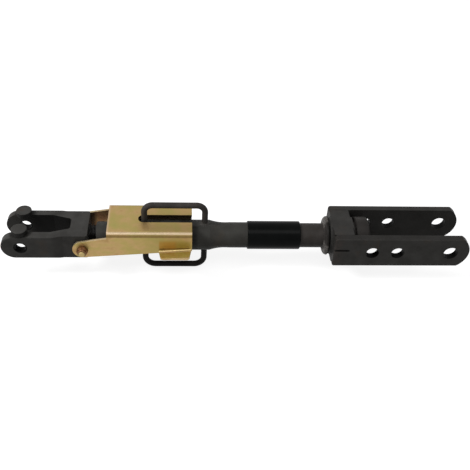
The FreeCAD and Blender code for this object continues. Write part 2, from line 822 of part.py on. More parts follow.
def hollow_flap(body):
    """The inside of the channel, open below and at both ends."""
    bend = s.flap_bend_radius - s.sheet_thickness
    deep = s.flap_arm_radius * 2
    inside = new_sketch(body, "YZ_Plane", "inside")
    add_path(inside, [
        (-flap_inner_y, -deep),
        (flap_inner_y, -deep),
        (flap_inner_y, flap_under_z - bend, bend, 1),
        (flap_inner_y - bend, flap_under_z),
        (bend - flap_inner_y, flap_under_z, bend, 1),
        (-flap_inner_y, flap_under_z - bend),
    ])
    cut_through(body, inside)
    holes = new_sketch(body, "XZ_Plane", "holes")
    add_circle(holes, pivot_x, ZERO, s.bolt_radius + s.running_gap)
    cut_through(body, holes)


def cut_flap_slot(body):
    """The slot in the flap's top that drops over the handle, open at the flap's end."""
    half = s.wire_radius + s.slot_side_clearance
    closed_x = first_leg_x - s.wire_radius - s.slot_end_clearance
    open_x = flap_end_x + half
    slot = new_sketch(body, "XY_Plane", "slot")
    add_path(slot, [
        (closed_x + half, -half),
        (open_x, -half),
        (open_x, half),
        (closed_x + half, half, half, 1),
        (closed_x, ZERO, half, 1),
    ])
    cut_through(body, slot)


def check_and_export():
    doc.recompute()
    for item in doc.Objects:
        if "Invalid" in item.State or "Error" in item.State:
            raise RuntimeError(f"{item.Name} is {item.State}")
    os.makedirs("parts", exist_ok=True)
    for part in parts:
        if part.Shape.isNull() or not part.Shape.isValid():
            raise RuntimeError(f"{part.Label} has no valid shape")
        part.Shape.exportStep(f"parts/{part.Label}.step")
        box = part.Shape.optimalBoundingBox(False, False)
        spans = [f"{low:.1f}..{high:.1f}" for low, high in
                 ((box.XMin, box.XMax), (box.YMin, box.YMax), (box.ZMin, box.ZMax))]
        print(part.Label, len(part.Shape.Solids), round(part.Shape.Volume), *spans)


make_fork_plate("near_fork_plate", -1, slot_weld=True)
make_fork_plate("far_fork_plate", 1)
make_fork_bridge()
make_swivel()
make_tube()
make_grip_sleeve()
make_handle("upper_handle", 1, s.upper_reach, s.upper_bend)
make_handle("lower_handle", -1, s.lower_reach, s.lower_bend)
make_handle_welds("upper_handle_welds", 1)
make_handle_welds("lower_handle_welds", -1)
make_front_fork()
make_spindle()
make_stop_stud("near_stop_stud", -1)
make_stop_stud("far_stop_stud", 1)
make_hinge_bolt()
make_hinge_nut()
make_lock_flap()
check_and_export()
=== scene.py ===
"""Looks of the adjustable lift link: materials, threads, weld beads, fasteners, light and camera."""

import json
import math

import bpy
from mathutils import Matrix, Vector


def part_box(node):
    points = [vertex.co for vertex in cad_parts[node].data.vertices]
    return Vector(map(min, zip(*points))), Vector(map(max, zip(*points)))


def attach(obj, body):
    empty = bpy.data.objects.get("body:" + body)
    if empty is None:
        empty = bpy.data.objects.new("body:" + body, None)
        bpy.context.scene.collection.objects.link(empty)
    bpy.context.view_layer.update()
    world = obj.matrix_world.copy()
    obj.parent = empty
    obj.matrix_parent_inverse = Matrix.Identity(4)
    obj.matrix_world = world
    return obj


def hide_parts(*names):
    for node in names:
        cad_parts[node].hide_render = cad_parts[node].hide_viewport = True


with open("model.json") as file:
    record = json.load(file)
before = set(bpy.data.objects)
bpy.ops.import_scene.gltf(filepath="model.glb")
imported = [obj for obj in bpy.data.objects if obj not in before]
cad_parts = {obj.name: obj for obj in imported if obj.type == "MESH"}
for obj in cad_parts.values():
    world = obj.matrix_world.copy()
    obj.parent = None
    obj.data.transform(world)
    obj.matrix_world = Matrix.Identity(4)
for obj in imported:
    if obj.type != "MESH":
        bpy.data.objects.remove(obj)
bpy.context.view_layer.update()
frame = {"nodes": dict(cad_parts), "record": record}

# Camera, as fitted to the photograph
CAMERA_PLACE = (-0.35735, -0.7414, 0.6331)
CAMERA_YAW = math.radians(5.456)
CAMERA_DIP = math.radians(40.382)
CAMERA_ROLL = math.radians(3.821)
CAMERA_LENS = 55.74
SENSOR_WIDTH = 36.0

# Floor and world
FLOOR_PLACE = (-0.28, 0.0, -0.0565)
FLOOR_SIZE = 8.0
FLOOR_GREY = (0.32, 0.32, 0.32, 1.0)
FLOOR_GLOW = 0.84
WORLD_LIGHT = 0.32
WHITE = (1.0, 1.0, 1.0, 1.0)

# Sizes that the added pieces share with the solids, in metres
FRONT_BORE_X = -0.565
FRONT_BORE_REACH = 0.0086
STUD_ASIDE = 0.019
REAR_BORES = ((0.0, 0.0096), (-0.072, 0.0086), (-0.106, 0.0086))
TUBE_BODY_RADIUS = 0.0202
SWIVEL_RADIUS = 0.0164
WIRE_RADIUS = 0.004
FIRST_LEG_X = -0.4068
SECOND_LEG_X = -0.3276
COLLAR_FACE_X = -0.1634
COLLAR_EDGE = 0.0004
COLLAR_ROUND = 0.0045
COLLAR_BEAD_LEG = 0.0016
BOSS_FACE_X = -0.1630
BOSS_RADIUS = 0.0247
BOSS_CHAMFER = 0.0008
SPINDLE_RADIUS = 0.0135
SPINDLE_PITCH = 0.0035
SPINDLE_THREAD_DEPTH = 0.0019
SPINDLE_CHAMFER = 0.002
HEX_WIDTH = 0.013
HEX_CORNER = HEX_WIDTH / math.sqrt(3.0)
BOLT_RADIUS = 0.004
BOLT_PITCH = 0.00125
BOLT_THREAD_DEPTH = 0.0007
BOLT_THREAD_LENGTH = 0.016
BOLT_CHAMFER = 0.0007
BOLT_HEAD_HEIGHT = 0.0053
NUT_CROWN_HEIGHT = 0.0025

# Colours that several materials share
BROWN = (0.045, 0.032, 0.024)
# Painted shade inside bores and along the slot weld.
PAINTED_DEEP_SHADE = (0.002, 0.0019, 0.0018)
# Painted shade for the slot of the front fork.
PAINTED_SLOT_SHADE = (0.0045, 0.0043, 0.004)


# Node helpers


def new_material(name):
    material = bpy.data.materials.new(name)
    material.use_nodes = True
    tree = material.node_tree
    shader = next(n for n in tree.nodes if n.type == "BSDF_PRINCIPLED")
    return material, tree, shader


def feed(tree, socket, value):
    """Link a socket's source, or set its value."""
    if isinstance(value, bpy.types.NodeSocket):
        tree.links.new(value, socket)
    else:
        socket.default_value = value


def add_node(tree, kind, inputs=None, **settings):
    node = tree.nodes.new(kind)
    for name, value in settings.items():
        setattr(node, name, value)
    for name, value in (inputs or {}).items():
        feed(tree, node.inputs[name], value)
    return node


def noise(tree, scale, detail=4.0, roughness=0.55, stretch=(1.0, 1.0, 1.0)):
    """Noise in the object's own space, scale in cells per metre."""
    place = add_node(tree, "ShaderNodeTexCoord").outputs["Object"]
    moved = add_node(tree, "ShaderNodeMapping", {"Vector": place, "Scale": stretch})
    inputs = {
        "Vector": moved.outputs["Vector"],
        "Scale": scale,
        "Detail": detail,
        "Roughness": roughness,
    }
    return add_node(tree, "ShaderNodeTexNoise", inputs).outputs["Fac"]


def ramp(tree, factor, stops):
    """Colour ramp from (position, colour) stops."""
    node = add_node(tree, "ShaderNodeValToRGB", {"Fac": factor})
    elements = node.color_ramp.elements
    while len(elements) < len(stops):
        elements.new(0.5)
    for element, (position, colour) in zip(elements, stops):
        element.position = position
        element.color = (*colour, 1.0)
    return node.outputs["Color"]


def grey(value):
    return (value, value, value)


def spread(tree, factor, low, high):
    """Map 0..1 to low..high."""
    inputs = {"Value": factor, "To Min": low, "To Max": high}
    return add_node(tree, "ShaderNodeMapRange", inputs).outputs["Result"]


def mix_colour(tree, factor, first, second):
    node = tree.nodes.new("ShaderNodeMix")
    node.data_type = "RGBA"
    for index, value in ((0, factor), (6, first), (7, second)):
        if isinstance(value, tuple):
            value = (*value, 1.0)
        feed(tree, node.inputs[index], value)
    return node.outputs[2]


def soft_edge(tree, radius):
    """Normal rounded at the solid's edges."""
    return add_node(tree, "ShaderNodeBevel", {"Radius": radius}, samples=6).outputs["Normal"]


def bump(tree, height, strength, distance, normal):
    inputs = {"Height": height, "Strength": strength, "Distance": distance, "Normal": normal}
    return add_node(tree, "ShaderNodeBump", inputs).outputs["Normal"]


def calc(tree, operation, first, second=0.0):
    return add_node(tree, "ShaderNodeMath", {0: first, 1: second}, operation=operation).outputs[0]


# Masks in the object's own space, so that they stay put when a body moves


def own_axes(tree, kind="Object"):
    """X, Y and Z of the place, or of the normal."""
    place = add_node(tree, "ShaderNodeTexCoord").outputs[kind]
    parts = add_node(tree, "ShaderNodeSeparateXYZ", {"Vector": place})
    return parts.outputs["X"], parts.outputs["Y"], parts.outputs["Z"]


def rises(tree, value, low, high):
    """0 below low and 1 above high, smooth between; low above high turns it round."""
    inputs = {"Value": value, "From Min": low, "From Max": high}
    node = add_node(tree, "ShaderNodeMapRange", inputs, interpolation_type="SMOOTHSTEP")
    return node.outputs["Result"]


def band(tree, value, low, high, soft):
    """1 between low and high, with soft ends."""
    up = rises(tree, value, low - soft, low + soft)
    down = rises(tree, value, high + soft, high - soft)
    return calc(tree, "MULTIPLY", up, down)


def both(tree, *masks):
    result = masks[0]
    for mask in masks[1:]:
        result = calc(tree, "MULTIPLY", result, mask)
    return result


def uneven(tree, mask, scale, low, high):
    """The mask broken up by noise."""
    return both(tree, mask, spread(tree, noise(tree, scale), low, high))


def length_of(tree, first, second):
    first_square = calc(tree, "MULTIPLY", first, first)
    second_square = calc(tree, "MULTIPLY", second, second)
    return calc(tree, "SQRT", calc(tree, "ADD", first_square, second_square))


def near_bore(tree, bore_x, radius):
    """1 within a radius of the line of a bore that runs along Y."""
    x, _, z = own_axes(tree)
    reach = length_of(tree, calc(tree, "ADD", x, -bore_x), z)
    return rises(tree, reach, radius + 0.0003, radius)


# Painted surfaces


class Surface:
    """A material whose colour is built up in layers, each laid on through a mask."""

    def __init__(self, name):
        self.material, self.tree, self.shader = new_material(name)

    def paint(self, mask, colour, share=1.0):
        if share != 1.0:
            mask = calc(self.tree, "MULTIPLY", mask, share)
        self.colour = mix_colour(self.tree, mask, self.colour, colour)

    def finish(self):
        feed(self.tree, self.shader.inputs["Base Color"], self.colour)
        feed(self.tree, self.shader.inputs["Normal"], self.normal)
        return self.material


class BlackSteel(Surface):
    """Blackened forging, tube or wire: mottled oxide, brown patches and a fine grain."""

    def __init__(self, name, dark, pale, tint=BROWN, gloss=0.05, edge=0.0004):
        super().__init__(name)
        tree = self.tree
        base = ramp(tree, noise(tree, 60.0, detail=5.0), [(0.3, dark), (0.7, pale)])
        stops = [(0.6, grey(0.0)), (0.74, grey(1.0))]
        patches = ramp(tree, noise(tree, 38.0, detail=3.0), stops)
        self.colour = mix_colour(tree, spread(tree, patches, 0.0, 0.5), base, tint)
        roughness = spread(tree, noise(tree, 140.0), 0.38, 0.55)
        feed(tree, self.shader.inputs["Roughness"], roughness)
        grain = noise(tree, 900.0, detail=2.0)
        fine = bump(tree, grain, 0.35, 0.00012, soft_edge(tree, edge))
        self.normal = bump(tree, noise(tree, 120.0), 0.25, 0.0004, fine)
        self.shader.inputs["Specular IOR Level"].default_value = gloss


def forging(name):
    dark, pale, tint = (0.030, 0.0288, 0.027), (0.048, 0.0465, 0.044), (0.050, 0.037, 0.028)
    return BlackSteel(name, dark, pale, tint, gloss=0.04)


# Materials of the front fork


def front_fork_steel():
    """Forging with painted shade in its slot and bore and a painted shadow round the studs."""
    steel = forging("forged_black_ears")
    tree = steel.tree
    x, y, z = own_axes(tree)
    _, facing_y, facing_z = own_axes(tree, "Normal")
    aside = calc(tree, "ABSOLUTE", y)
    # Painted shade on the slot's inner faces behind the bore.
    inward = rises(tree, calc(tree, "MULTIPLY", y, facing_y), -0.004, -0.008)
    behind_bore = rises(tree, x, -0.572, -0.550)
    steel.paint(both(tree, inward, behind_bore), PAINTED_SLOT_SHADE, 0.92)
    # Painted shade on the slot's floor between the ears.
    between_ears = rises(tree, aside, 0.0176, 0.0172)
    below_top = rises(tree, z, 0.0178, 0.0176)
    before_web = rises(tree, x, -0.500, -0.5015)
    steel.paint(both(tree, between_ears, below_top, before_web), PAINTED_SLOT_SHADE)
    # Painted shadow round the studs on the ears' tops.
    along = calc(tree, "ADD", x, -FRONT_BORE_X)
    across = calc(tree, "ADD", aside, -STUD_ASIDE)
    round_stud = rises(tree, length_of(tree, along, across), 0.0150, 0.0112)
    stud_shadow = both(tree, round_stud, rises(tree, facing_z, 0.2, 0.6))
    steel.paint(uneven(tree, stud_shadow, 150.0, 0.3, 1.1), (0.008, 0.0075, 0.007))
    # Painted shade inside the bore.
    steel.paint(near_bore(tree, FRONT_BORE_X, FRONT_BORE_REACH), PAINTED_DEEP_SHADE)
    return steel.finish()


def stud_steel():
    """Stop stud with a plain pale top and painted shade on its side."""
    steel = forging("forged_black_stud")
    _, _, facing_z = own_axes(steel.tree, "Normal")
    # Painted shade on the stud's side.
    steel.paint(rises(steel.tree, facing_z, 0.6, 0.3), (0.010, 0.0095, 0.009), 0.8)
    return steel.finish()


def thread_steel():
    """Oiled screw thread."""
    material, tree, shader = new_material("thread_steel")
    cloud = noise(tree, 250.0)
    oil = ramp(tree, cloud, [(0.3, (0.005, 0.005, 0.005)), (0.7, (0.016, 0.0155, 0.015))])
    feed(tree, shader.inputs["Base Color"], oil)
    shader.inputs["Metallic"].default_value = 0.4
    shader.inputs["Specular IOR Level"].default_value = 0.25
    feed(tree, shader.inputs["Roughness"], spread(tree, cloud, 0.25, 0.42))
    return material


# Materials of the rear fork


def scorch_welds(steel, x, aside):
    """Burnt brown and a dark seam where the plates are welded to the block."""
    tree = steel.tree
    by_joint = band(tree, aside, 0.020, 0.034, 0.004)
    scorch = both(tree, by_joint, rises(tree, x, -0.135, -0.152))
    steel.paint(uneven(tree, scorch, 160.0, -0.5, 1.1), (0.050, 0.038, 0.030))
    at_joint = band(tree, aside, 0.0262, 0.0268, 0.0003)
    seam = both(tree, at_joint, rises(tree, x, -0.130, -0.133))
    steel.paint(seam, (0.006, 0.0055, 0.005))


def shade_faces(steel, x, y, aside):
    """Painted shade on the tops, on faces towards the front end and between the plates, and burnt
    patches on the plates' outsides.
    """
    tree = steel.tree
    facing_x, _, facing_z = own_axes(tree, "Normal")
    upward = rises(tree, facing_z, 0.6, 0.9)
    # Painted shade on faces that look up.
    steel.paint(upward, (0.018, 0.0175, 0.017), 0.3)
    # Painted shade on faces towards the front end.
    steel.paint(rises(tree, facing_x, -0.25, -0.7), (0.014, 0.0135, 0.013), 0.6)
    outside = rises(tree, aside, 0.0350, 0.0355)
    burnt_face = both(tree, outside, rises(tree, x, -0.1440, -0.1540))
    steel.paint(uneven(tree, burnt_face, 170.0, -0.7, 1.3), (0.058, 0.044, 0.038))
    # More painted shade on the near plate's top.
    near_top_shade = both(tree, upward, rises(tree, y, -0.0268, -0.0275))
    steel.paint(uneven(tree, near_top_shade, 90.0, 0.3, 0.8), (0.016, 0.015, 0.014))
    # Painted shade between the plates.
    shaded_inside = both(tree, rises(tree, aside, 0.0268, 0.0263), rises(tree, x, -0.130, -0.127))
    steel.paint(shaded_inside, (0.007, 0.0065, 0.006), 0.88)


def rear_fork_steel(name):
    """Forging with scorched welds, painted shade in a black line along a slot weld on the near side,
    and painted shade in the bores.
    """
    steel = forging(name)
    tree = steel.tree
    x, y, z = own_axes(tree)
    aside = calc(tree, "ABSOLUTE", y)
    scorch_welds(steel, x, aside)
    shade_faces(steel, x, y, aside)
    # Painted shade in a black line along the slot weld on the near side.
    slot_height = band(tree, z, 0.0024, 0.0054, 0.0006)
    slot_length = band(tree, x, -0.1570, -0.1370, 0.0015)
    slot_weld_shade = both(tree, slot_height, slot_length, rises(tree, y, -0.0340, -0.0346))
    steel.paint(uneven(tree, slot_weld_shade, 300.0, 0.6, 1.1), PAINTED_DEEP_SHADE)
    # Painted shade inside the bores.
    for bore_x, radius in REAR_BORES:
        steel.paint(near_bore(tree, bore_x, radius), PAINTED_DEEP_SHADE)
    return steel.finish()


def boss_steel():
    """Boss of the block, with painted shade on its faces towards the front and in the gap next to
    the collar.
    """
    steel = forging("boss_steel")
    tree = steel.tree
    x, _, _ = own_axes(tree)
    facing_x, _, _ = own_axes(tree, "Normal")
    # Painted shade on faces towards the front end.
    steel.paint(rises(tree, facing_x, 0.0, -0.5), (0.012, 0.0115, 0.011), 0.7)
    # Painted shade in the gap next to the collar.
    steel.paint(rises(tree, x, -0.1604, -0.1616), (0.005, 0.0047, 0.0043), 0.8)
    return steel.finish()


# Materials of the tube and what turns with it


def tube_paint():
    """Painted tube with a painted shadow of the flap in a band round it at the flap's end."""
    dark, pale, tint = (0.029, 0.028, 0.0253), (0.0435, 0.0425, 0.0388), (0.046, 0.038, 0.029)
    steel = BlackSteel("tube_paint", dark, pale, tint)
    x, _, _ = own_axes(steel.tree)
    # Painted shadow that the flap casts on the tube.
    flap_shadow_band = band(steel.tree, x, -0.3600, -0.3375, 0.003)
    steel.paint(uneven(steel.tree, flap_shadow_band, 120.0, 0.4, 1.0), (0.012, 0.0115, 0.0105))
    return steel.finish()


def swivel_steel():
    """Brownish rod with painted shade on its head inside the fork."""
    steel = BlackSteel("swivel_steel", (0.0225, 0.0200, 0.0182), (0.0405, 0.0360, 0.0335))
    x, _, _ = own_axes(steel.tree)
    # Painted shade on the head inside the fork.
    steel.paint(rises(steel.tree, x, -0.131, -0.129), (0.014, 0.0138, 0.013), 0.45)
    return steel.finish()


def collar_steel():
    """Collar with painted highlights in two places and painted shade towards the block."""
    steel = BlackSteel("collar_steel", (0.018, 0.016, 0.0148), (0.032, 0.029, 0.027))
    tree = steel.tree
    x, y, z = own_axes(tree)
    # Painted shade towards the block.
    steel.paint(rises(tree, x, -0.1666, -0.1652), (0.006, 0.0056, 0.005), 0.75)
    # Painted highlights at the top and the bottom, broken up by noise.
    diagonal = rises(tree, calc(tree, "MULTIPLY", y, z), -0.00012, -0.00002)
    highlight_patches = both(tree, diagonal, rises(tree, x, -0.1634, -0.1638))
    steel.paint(uneven(tree, highlight_patches, 420.0, -0.8, 2.0), (0.120, 0.110, 0.102))
    return steel.finish()


def washer_steel():
    return BlackSteel("pin_steel", (0.02, 0.0175, 0.016), (0.036, 0.032, 0.03)).finish()


def upper_wire():
    dark, pale = (0.026, 0.0235, 0.0215), (0.045, 0.0405, 0.037)
    return BlackSteel("wire_black", dark, pale, edge=0.0002).finish()


# A darker copy of the wire's steel: painted shade for the handle underneath.
def shaded_lower_wire():
    dark, pale = (0.010, 0.0092, 0.0086), (0.022, 0.020, 0.019)
    return BlackSteel("wire_black_shaded", dark, pale, edge=0.0002).finish()


def weld_steel():
    return BlackSteel("weld_bead", (0.018, 0.016, 0.014), (0.045, 0.04, 0.035), gloss=0.2).finish()


def sleeve_black():
    """Smooth black heat-shrunk plastic."""
    material, tree, shader = new_material("sleeve_black")
    stops = [(0.3, (0.0010, 0.0013, 0.0013)), (0.7, (0.0022, 0.0026, 0.0026))]
    feed(tree, shader.inputs["Base Color"], ramp(tree, noise(tree, 80.0), stops))
    feed(tree, shader.inputs["Roughness"], spread(tree, noise(tree, 200.0), 0.2, 0.28))
    swell = noise(tree, 45.0, detail=2.0, stretch=(0.5, 1.0, 1.0))
    waves = bump(tree, swell, 0.1, 0.001, soft_edge(tree, 0.0004))
    feed(tree, shader.inputs["Normal"], waves)
    shader.inputs["Specular IOR Level"].default_value = 0.045
    return material


# Materials of the flap and its bolt


class YellowZinc(Surface):
    """Yellow passivated sheet with green and orange drifts and rolling lines."""

    def __init__(self, name):
        super().__init__(name)
        tree = self.tree
        drift = noise(tree, 46.0, detail=3.0, stretch=(1.0, 1.0, 1.6))
        colour = ramp(tree, drift, [
            (0.28, (0.325, 0.288, 0.084)),
            (0.45, (0.375, 0.285, 0.098)),
            (0.60, (0.435, 0.288, 0.128)),
            (0.76, (0.325, 0.198, 0.077)),
        ])
        cloud = noise(tree, 150.0, detail=5.0)
        share = spread(tree, cloud, 0.0, 0.35)
        self.colour = mix_colour(tree, share, colour, (0.31, 0.24, 0.10))
        self.x, self.y, self.z = own_axes(tree)
        self.facing_x, self.facing_y, self.facing_z = own_axes(tree, "Normal")
        self.aside = calc(tree, "ABSOLUTE", self.y)
        self.shader.inputs["Metallic"].default_value = 1.0
        feed(tree, self.shader.inputs["Roughness"], spread(tree, cloud, 0.42, 0.56))
        lines = noise(tree, 500.0, detail=2.0, stretch=(0.06, 1.0, 1.0))
        drawn = bump(tree, lines, 0.12, 0.0002, soft_edge(tree, 0.0004))
        self.normal = bump(tree, noise(tree, 55.0), 0.2, 0.0008, drawn)


def light_and_shade_bends(zinc):
    """Painted shade on the rear half, and long bends with a painted highlight above a painted dark
    reflection at their foot.
    """
    tree, x, z, aside = zinc.tree, zinc.x, zinc.z, zinc.aside
    # Painted shade on the rear half.
    zinc.paint(rises(tree, x, -0.428, -0.390), (0.27, 0.185, 0.065), 0.3)
    # Painted highlight on the long bends.
    bend_highlight = both(tree, rises(tree, aside, 0.0262, 0.0285), rises(tree, z, 0.0246, 0.0256))
    zinc.paint(bend_highlight, (0.345, 0.275, 0.195), 0.85)
    # Painted dark reflection at the bends' foot.
    foot_height = band(tree, z, 0.0208, 0.0245, 0.0007)
    bend_foot_reflection = both(tree, foot_height, rises(tree, aside, 0.0285, 0.0295))
    zinc.paint(uneven(tree, bend_foot_reflection, 260.0, 0.6, 1.1), (0.17, 0.11, 0.04))


def edge_light_and_shade(zinc):
    """Painted highlights on the cut edges at the front, and painted shade on the cut edge round the
    slot.
    """
    tree, x, z, aside = zinc.tree, zinc.x, zinc.z, zinc.aside
    # Painted highlight on the front edge of the top.
    front_rim_highlight = both(tree, rises(tree, x, -0.4510, -0.4530), rises(tree, z, 0.0262, 0.0266))
    zinc.paint(front_rim_highlight, (0.54, 0.39, 0.28), 0.5)
    # Painted highlight on the arms' upper edges.
    arm_top_highlight = both(tree, rises(tree, x, -0.4535, -0.4545), rises(tree, zinc.facing_z, 0.4, 0.7))
    zinc.paint(both(tree, arm_top_highlight, rises(tree, z, 0.0215, 0.021)), (0.40, 0.33, 0.22), 0.7)
    # Painted highlight on the arms' front ends.
    facing_front = rises(tree, zinc.facing_x, -0.2, -0.6)
    arm_end_highlight = both(tree, rises(tree, x, -0.4860, -0.4900), facing_front)
    zinc.paint(arm_end_highlight, (0.52, 0.43, 0.30), 0.7)
    # Painted shade on the cut edge round the slot.
    sideways = rises(tree, calc(tree, "ABSOLUTE", zinc.facing_z), 0.7, 0.4)
    slot_edge_shade = both(tree, rises(tree, aside, 0.0086, 0.0082), sideways)
    zinc.paint(slot_edge_shade, (0.012, 0.009, 0.008))


def shade_insides(zinc):
    """Painted shade in brown mottle on the insides of the arms and sides, nearly black at both ends.
    """
    tree, x = zinc.tree, zinc.x
    facing_aside = rises(tree, calc(tree, "ABSOLUTE", zinc.facing_y), 0.4, 0.7)
    # Painted shade in brown mottle on the inner faces.
    shaded_inside = both(tree, rises(tree, zinc.aside, 0.0288, 0.0286), facing_aside)
    zinc.paint(shaded_inside, (0.22, 0.10, 0.052), 0.85)
    zinc.paint(uneven(tree, shaded_inside, 110.0, -2.2, 2.8), (0.30, 0.21, 0.085), 0.5)
    # Nearly black painted shade under the channel and by the shank.
    shade_under_channel = both(tree, shaded_inside, rises(tree, x, -0.440, -0.430))
    zinc.paint(shade_under_channel, (0.04, 0.028, 0.016), 0.9)
    shade_by_shank = both(tree, shaded_inside, rises(tree, x, -0.470, -0.477))
    zinc.paint(shade_by_shank, (0.035, 0.022, 0.016), 0.85)


def mark_heat(zinc):
    """Olive and orange heat marks on the sides, above the lips."""
    tree, x = zinc.tree, zinc.x
    along = band(tree, x, -0.387, -0.346, 0.001)
    height = band(tree, zinc.z, 0.002, 0.0145, 0.003)
    above_lip = both(tree, along, height, rises(tree, zinc.aside, 0.0311, 0.0314))
    zinc.paint(uneven(tree, above_lip, 70.0, 0.4, 1.2), (0.27, 0.205, 0.050))
    orange = both(tree, above_lip, rises(tree, x, -0.3620, -0.3680))
    zinc.paint(uneven(tree, orange, 90.0, 0.3, 1.2), (0.34, 0.185, 0.040))


def colour_lips(zinc):
    """Olive lips with orange patches, and painted highlights along the root and the tip."""
    tree, x, aside = zinc.tree, zinc.x, zinc.aside
    lip_top = both(tree, rises(tree, zinc.facing_z, 0.5, 0.8), rises(tree, x, -0.3885, -0.3875))
    lip = both(tree, rises(tree, aside, 0.0345, 0.0355), lip_top)
    zinc.paint(lip, (0.44, 0.36, 0.10), 0.8)
    zinc.paint(uneven(tree, lip, 150.0, -1.3, 1.9), (0.34, 0.19, 0.04), 0.8)
    # Painted highlight along the lips' root.
    lip_root_highlight = both(tree, band(tree, aside, 0.0321, 0.0358, 0.0006), lip_top)
    zinc.paint(lip_root_highlight, (0.57, 0.45, 0.25), 0.85)
    along = band(tree, x, -0.3875, -0.3460, 0.001)
    # Painted highlight along the lips' tip.
    lip_tip_highlight = both(tree, rises(tree, aside, 0.0462, 0.0468), along)
    zinc.paint(lip_tip_highlight, (0.50, 0.37, 0.22), 0.7)


def shade_crease(zinc):
    """Painted shade in a dark, slightly slanting line where the lips leave the sides."""
    tree, x = zinc.tree, zinc.x
    slant = calc(tree, "MULTIPLY", calc(tree, "ADD", x, 0.366), -0.036)
    height = band(tree, calc(tree, "ADD", zinc.z, slant), 0.0012, 0.0034, 0.0007)
    along = band(tree, x, -0.387, -0.348, 0.001)
    # Painted shade in the corner above the lips.
    crease_shade = both(tree, height, along, rises(tree, zinc.aside, 0.0311, 0.0314))
    zinc.paint(uneven(tree, crease_shade, 120.0, 0.2, 1.3), (0.09, 0.048, 0.014))


def yellow_zinc():
    zinc = YellowZinc("yellow_zinc")
    light_and_shade_bends(zinc)
    edge_light_and_shade(zinc)
    shade_insides(zinc)
    mark_heat(zinc)
    colour_lips(zinc)
    shade_crease(zinc)
    return zinc.finish()


def zinc_fastener():
    """Brown passivated bolt and nut, pale on the bolt's end beyond the nut."""
    material, tree, shader = new_material("zinc_bolt")
    cloud = noise(tree, 400.0)
    colour = ramp(tree, cloud, [(0.3, (0.11, 0.048, 0.024)), (0.7, (0.22, 0.115, 0.055))])
    _, y, _ = own_axes(tree)
    colour = mix_colour(tree, rises(tree, y, -0.0397, -0.0399), colour, (0.38, 0.29, 0.13))
    feed(tree, shader.inputs["Base Color"], colour)
    shader.inputs["Metallic"].default_value = 1.0
    feed(tree, shader.inputs["Roughness"], spread(tree, cloud, 0.40, 0.55))
    feed(tree, shader.inputs["Normal"], bump(tree, cloud, 0.15, 0.0002, soft_edge(tree, 0.0002)))
    return material


SLOT_MATERIALS = {
    "pin_steel": washer_steel(),
    "tube_paint": tube_paint(),
    "wire_black": upper_wire(),
    "weld_bead": weld_steel(),
    "sleeve_black": sleeve_black(),
    "thread_steel": thread_steel(),
    "zinc_bolt": zinc_fastener(),
    "yellow_zinc": yellow_zinc(),
}

# Materials of single nodes and pieces, which go before the one of their slot
OWN_MATERIALS = {
    "front_fork": front_fork_steel(),
    "near_stop_stud": stud_steel(),
    "far_stop_stud": stud_steel(),
    "near_fork_plate": rear_fork_steel("forged_black_near_plate"),
    "far_fork_plate": rear_fork_steel("forged_black_far_plate"),
    "fork_bridge": rear_fork_steel("forged_black_bridge"),
    "swivel_pin": swivel_steel(),
    "lower_handle": shaded_lower_wire(),
    "collar_ring": collar_steel(),
    "block_boss": boss_steel(),
}


def material_of(name, slot_name):
    return OWN_MATERIALS.get(name) or SLOT_MATERIALS[slot_name]


def dress_nodes():
    """Give every CAD node its material."""
    slots = {part["node"]: part["material_slot"] for part in frame["record"]["subparts"]}
    for name, node in frame["nodes"].items():
        node.data.materials.clear()
        node.data.materials.append(material_of(name, slots[name]))


# Mesh helpers


def add_mesh(name, vertices, faces, slot_name, body, *nodes, smooth=True):
    """A mesh piece that rides on a body and stands for CAD nodes."""
    mesh = bpy.data.meshes.new(name)
    mesh.from_pydata(vertices, [], faces)
    mesh.validate()
    for polygon in mesh.polygons:
        polygon.use_smooth = smooth
    mesh.materials.append(material_of(name, slot_name))
    piece = bpy.data.objects.new(name, mesh)
    bpy.context.collection.objects.link(piece)
    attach(piece, body)
    if nodes:
        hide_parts(*nodes)


def grid_faces(rows, columns, start=0):
    """Quads over a grid of points whose columns close on themselves."""
    faces = []
    for i in range(rows - 1):
        for j in range(columns):
            a = start + i * columns + j
            b = start + i * columns + (j + 1) % columns
            faces.append((a, b, b + columns, a + columns))
    return faces


def join(*pieces):
    """One mesh of several (vertices, faces) pairs."""
    vertices, faces = [], []
    for more_vertices, more_faces in pieces:
        start = len(vertices)
        vertices += more_vertices
        faces += [tuple(start + corner for corner in face) for face in more_faces]
    return vertices, faces


def angles(columns):
    return [math.tau * j / columns for j in range(columns)]


def link_point(along, reach, angle):
    """A point on a ring about the link's axis."""
    return (along, reach * math.cos(angle), reach * math.sin(angle))


def bolt_point(centre, y, reach, angle):
    """A point on a ring about the hinge bolt's axis."""
    return (centre[0] + reach * math.cos(angle), y, centre[2] + reach * math.sin(angle))


def screw_radius(along, angle, radius, pitch, depth):
    """Radius of a right-hand screw thread at a place and an angle."""
    phase = (along / pitch - angle / math.tau) % 1.0
    flank = abs(phase - 0.5) * 2.0
    return radius - depth * min(1.0, max(0.0, 1.25 * flank - 0.1))


def ripple(angle, count, shift):
    """Uneven ripples of a weld run, between -1 and 1."""
    drift = 0.8 * math.sin(angle * 2.0 + shift) + 0.5 * math.sin(angle * 5.0 - shift)
    return 0.75 * math.sin(angle * count + drift) + 0.25 * math.sin(angle * 3.0 + shift * 2.0)


# Threaded spindle


